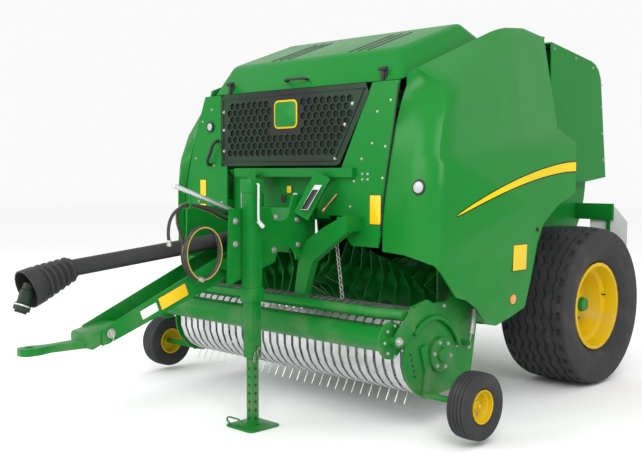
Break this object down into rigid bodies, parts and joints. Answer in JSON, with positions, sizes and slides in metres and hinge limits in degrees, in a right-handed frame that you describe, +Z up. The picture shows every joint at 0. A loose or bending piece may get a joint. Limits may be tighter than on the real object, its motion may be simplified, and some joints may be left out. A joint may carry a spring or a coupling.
{
  "type": "round baler",
  "caption": "Towed round baler with a fixed round bale chamber, tine pickup with gauge wheels, drawbar, power shaft, stand and rear tailgate.",
  "frame": {"origin": "middle of the whole length and width, at ground level under the wheels and the stand foot", "axes": "+Z up, the drawbar points towards -Y, the left side of the machine is towards +X"},
  "size_m": [2.875, 4.5695, 2.3984],
  "materials": {
    "black_plastic": "moulded black plastic",
    "bright_steel": "galvanised steel strip",
    "dark_paint": "dark paint with dust",
    "green_paint": "gloss green paint",
    "grey_plastic": "light grey moulded plastic",
    "grille_metal": "dark perforated sheet",
    "hose_rubber": "black hose rubber",
    "tyre_rubber": "black ribbed rubber",
    "yellow_paint": "gloss yellow paint"
  },
  "bodies": {
    "chassis": {"main_frame": "green_paint", "chamber_wall_left": "green_paint", "chamber_wall_right": "green_paint", "chamber_front_drum": "green_paint", "feed_floor": "green_paint", "roof_panel": "green_paint", "net_box": "dark_paint", "front_panel_centre": "green_paint", "front_panel_left": "green_paint", "front_panel_right": "green_paint", "grille_panel": "grille_metal", "drawbar": "green_paint", "hitch_eye": "green_paint", "mast_frame": "green_paint", "stand_sleeve": "green_paint", "gearbox": "green_paint", "hose_plain": "hose_rubber", "hose_striped": "hose_rubber", "valve_block": "dark_paint"},
    "hood": {"hood": "green_paint"},
    "side_cover_left": {"side_cover_left": "green_paint"},
    "side_cover_right": {"side_cover_right": "green_paint"},
    "tailgate": {"tailgate_side_left": "green_paint", "tailgate_side_right": "green_paint", "tailgate_drum": "green_paint", "tailgate_cover": "green_paint", "light_bar_left": "green_paint", "light_bar_right": "green_paint", "light_board_left": "grey_plastic", "light_board_right": "grey_plastic"},
    "wheel_left": {"wheel_left_rim": "yellow_paint", "wheel_left_tyre": "tyre_rubber"},
    "wheel_right": {"wheel_right_rim": "yellow_paint", "wheel_right_tyre": "tyre_rubber"},
    "feed_rotor": {"feed_rotor": "green_paint"},
    "pickup": {"pickup_bands": "bright_steel", "pickup_side_left": "green_paint", "pickup_side_right": "green_paint", "front_tube": "green_paint", "gauge_arm_left": "green_paint", "gauge_arm_right": "green_paint"},
    "pickup_reel": {"pickup_reel": "dark_paint"},
    "gauge_wheel_left": {"gauge_wheel_left_rim": "yellow_paint", "gauge_wheel_left_tyre": "tyre_rubber"},
    "gauge_wheel_right": {"gauge_wheel_right_rim": "yellow_paint", "gauge_wheel_right_tyre": "tyre_rubber"},
    "press_arms": {"press_roller_arms": "green_paint"},
    "press_roller": {"press_roller": "green_paint"},
    "shaft_guard": {"shaft_guard": "black_plastic"},
    "shaft_yoke": {"shaft_yoke": "dark_paint"},
    "stand_leg": {"stand_leg": "green_paint"}
  },
  "joints": [
    {"name": "hood_hinge", "type": "hinge", "parent": "chassis", "child": "hood", "pos_m": [0, 0.497, 2.28], "axis": [-1, 0, 0], "range_deg": [0, 50]},
    {"name": "side_cover_left_hinge", "type": "hinge", "parent": "chassis", "child": "side_cover_left", "pos_m": [0.85, 0.497, 2.3], "axis": [0, -1, 0], "range_deg": [0, 60]},
    {"name": "side_cover_right_hinge", "type": "hinge", "parent": "chassis", "child": "side_cover_right", "pos_m": [-0.85, 0.497, 2.3], "axis": [0, 1, 0], "range_deg": [0, 60]},
    {"name": "tailgate_hinge", "type": "hinge", "parent": "chassis", "child": "tailgate", "pos_m": [0, 1.477, 2.365], "axis": [1, 0, 0], "range_deg": [0, 65]},
    {"name": "wheel_left_spin", "type": "hinge", "parent": "chassis", "child": "wheel_left", "pos_m": [0.93, 1.397, 0.54], "axis": [1, 0, 0], "continuous": true},
    {"name": "wheel_right_spin", "type": "hinge", "parent": "chassis", "child": "wheel_right", "pos_m": [-0.93, 1.397, 0.54], "axis": [1, 0, 0], "continuous": true},
    {"name": "feed_rotor_spin", "type": "hinge", "parent": "chassis", "child": "feed_rotor", "pos_m": [0, 0.097, 0.78], "axis": [1, 0, 0], "continuous": true},
    {"name": "pickup_lift", "type": "hinge", "parent": "chassis", "child": "pickup", "pos_m": [0, 0.097, 0.78], "axis": [-1, 0, 0], "range_deg": [0, 5]},
    {"name": "pickup_reel_spin", "type": "hinge", "parent": "pickup", "child": "pickup_reel", "pos_m": [0, -0.303, 0.405], "axis": [1, 0, 0], "continuous": true},
    {"name": "gauge_wheel_left_spin", "type": "hinge", "parent": "pickup", "child": "gauge_wheel_left", "pos_m": [1.375, -0.378, 0.215], "axis": [1, 0, 0], "continuous": true},
    {"name": "gauge_wheel_right_spin", "type": "hinge", "parent": "pickup", "child": "gauge_wheel_right", "pos_m": [-1.375, -0.378, 0.215], "axis": [1, 0, 0], "continuous": true},
    {"name": "press_arms_swing", "type": "hinge", "parent": "pickup", "child": "press_arms", "pos_m": [0, -0.488, 0.678], "axis": [-1, 0, 0], "range_deg": [0, 8]},
    {"name": "press_roller_spin", "type": "hinge", "parent": "press_arms", "child": "press_roller", "pos_m": [0, -0.638, 0.55], "axis": [1, 0, 0], "continuous": true},
    {"name": "power_shaft_lift", "type": "hinge", "parent": "chassis", "child": "shaft_guard", "pos_m": [0, -0.733, 1.082], "axis": [-1, 0, 0], "range_deg": [0, 12]},
    {"name": "power_shaft_spin", "type": "hinge", "parent": "shaft_guard", "child": "shaft_yoke", "pos_m": [0, -2.195, 0.905], "axis": [0, -0.3726, -0.928], "continuous": true},
    {"name": "stand_leg_slide", "type": "slide", "parent": "chassis", "child": "stand_leg", "axis": [0, 0, 1], "range_m": [0, 0.3]}
  ]
}
